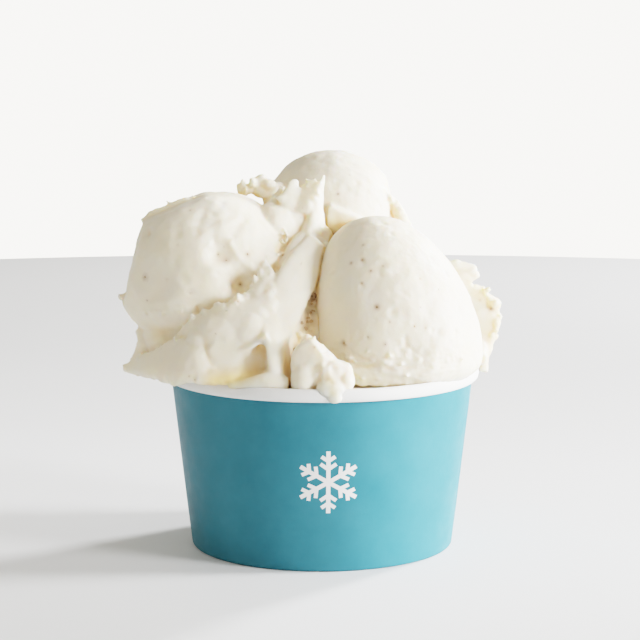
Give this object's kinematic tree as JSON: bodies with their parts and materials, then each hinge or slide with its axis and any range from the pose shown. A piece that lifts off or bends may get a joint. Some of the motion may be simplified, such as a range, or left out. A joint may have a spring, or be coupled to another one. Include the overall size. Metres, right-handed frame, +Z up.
{
  "type": "gelato cup",
  "caption": "Round paper cup with a rolled rim and a recessed floor, packed with gelato and heaped with leaning scoops, a torn lip between them and a lump over the front rim.",
  "frame": {"origin": "on the surface the cup stands on, under the middle of the model's box; the cup's own axis is about 3 mm to the +X side of it, because the heap hangs out further on the -X side", "axes": "+Z up; -Y towards the side shown in the picture, with the lump over the rim; +X to the right of that view"},
  "size_m": [0.1142, 0.0974, 0.1193],
  "materials": {
    "printed_board": "thin poly-coated paper board, printed teal outside with a satin, slightly mottled face, white inside and on the rolled rim",
    "plain_board": "thin uncoated white paper board, matte",
    "gelato": "dense cream-white gelato, softly translucent, satin where a spade has drawn it and rough where it tore, with small brown flecks"
  },
  "bodies": {
    "root": {"cup_wall": "printed_board", "cup_floor": "plain_board", "gelato_bed": "gelato", "scoop_left": "gelato", "scoop_right": "gelato", "scoop_back": "gelato", "front_lump": "gelato"}
  },
  "joints": []
}
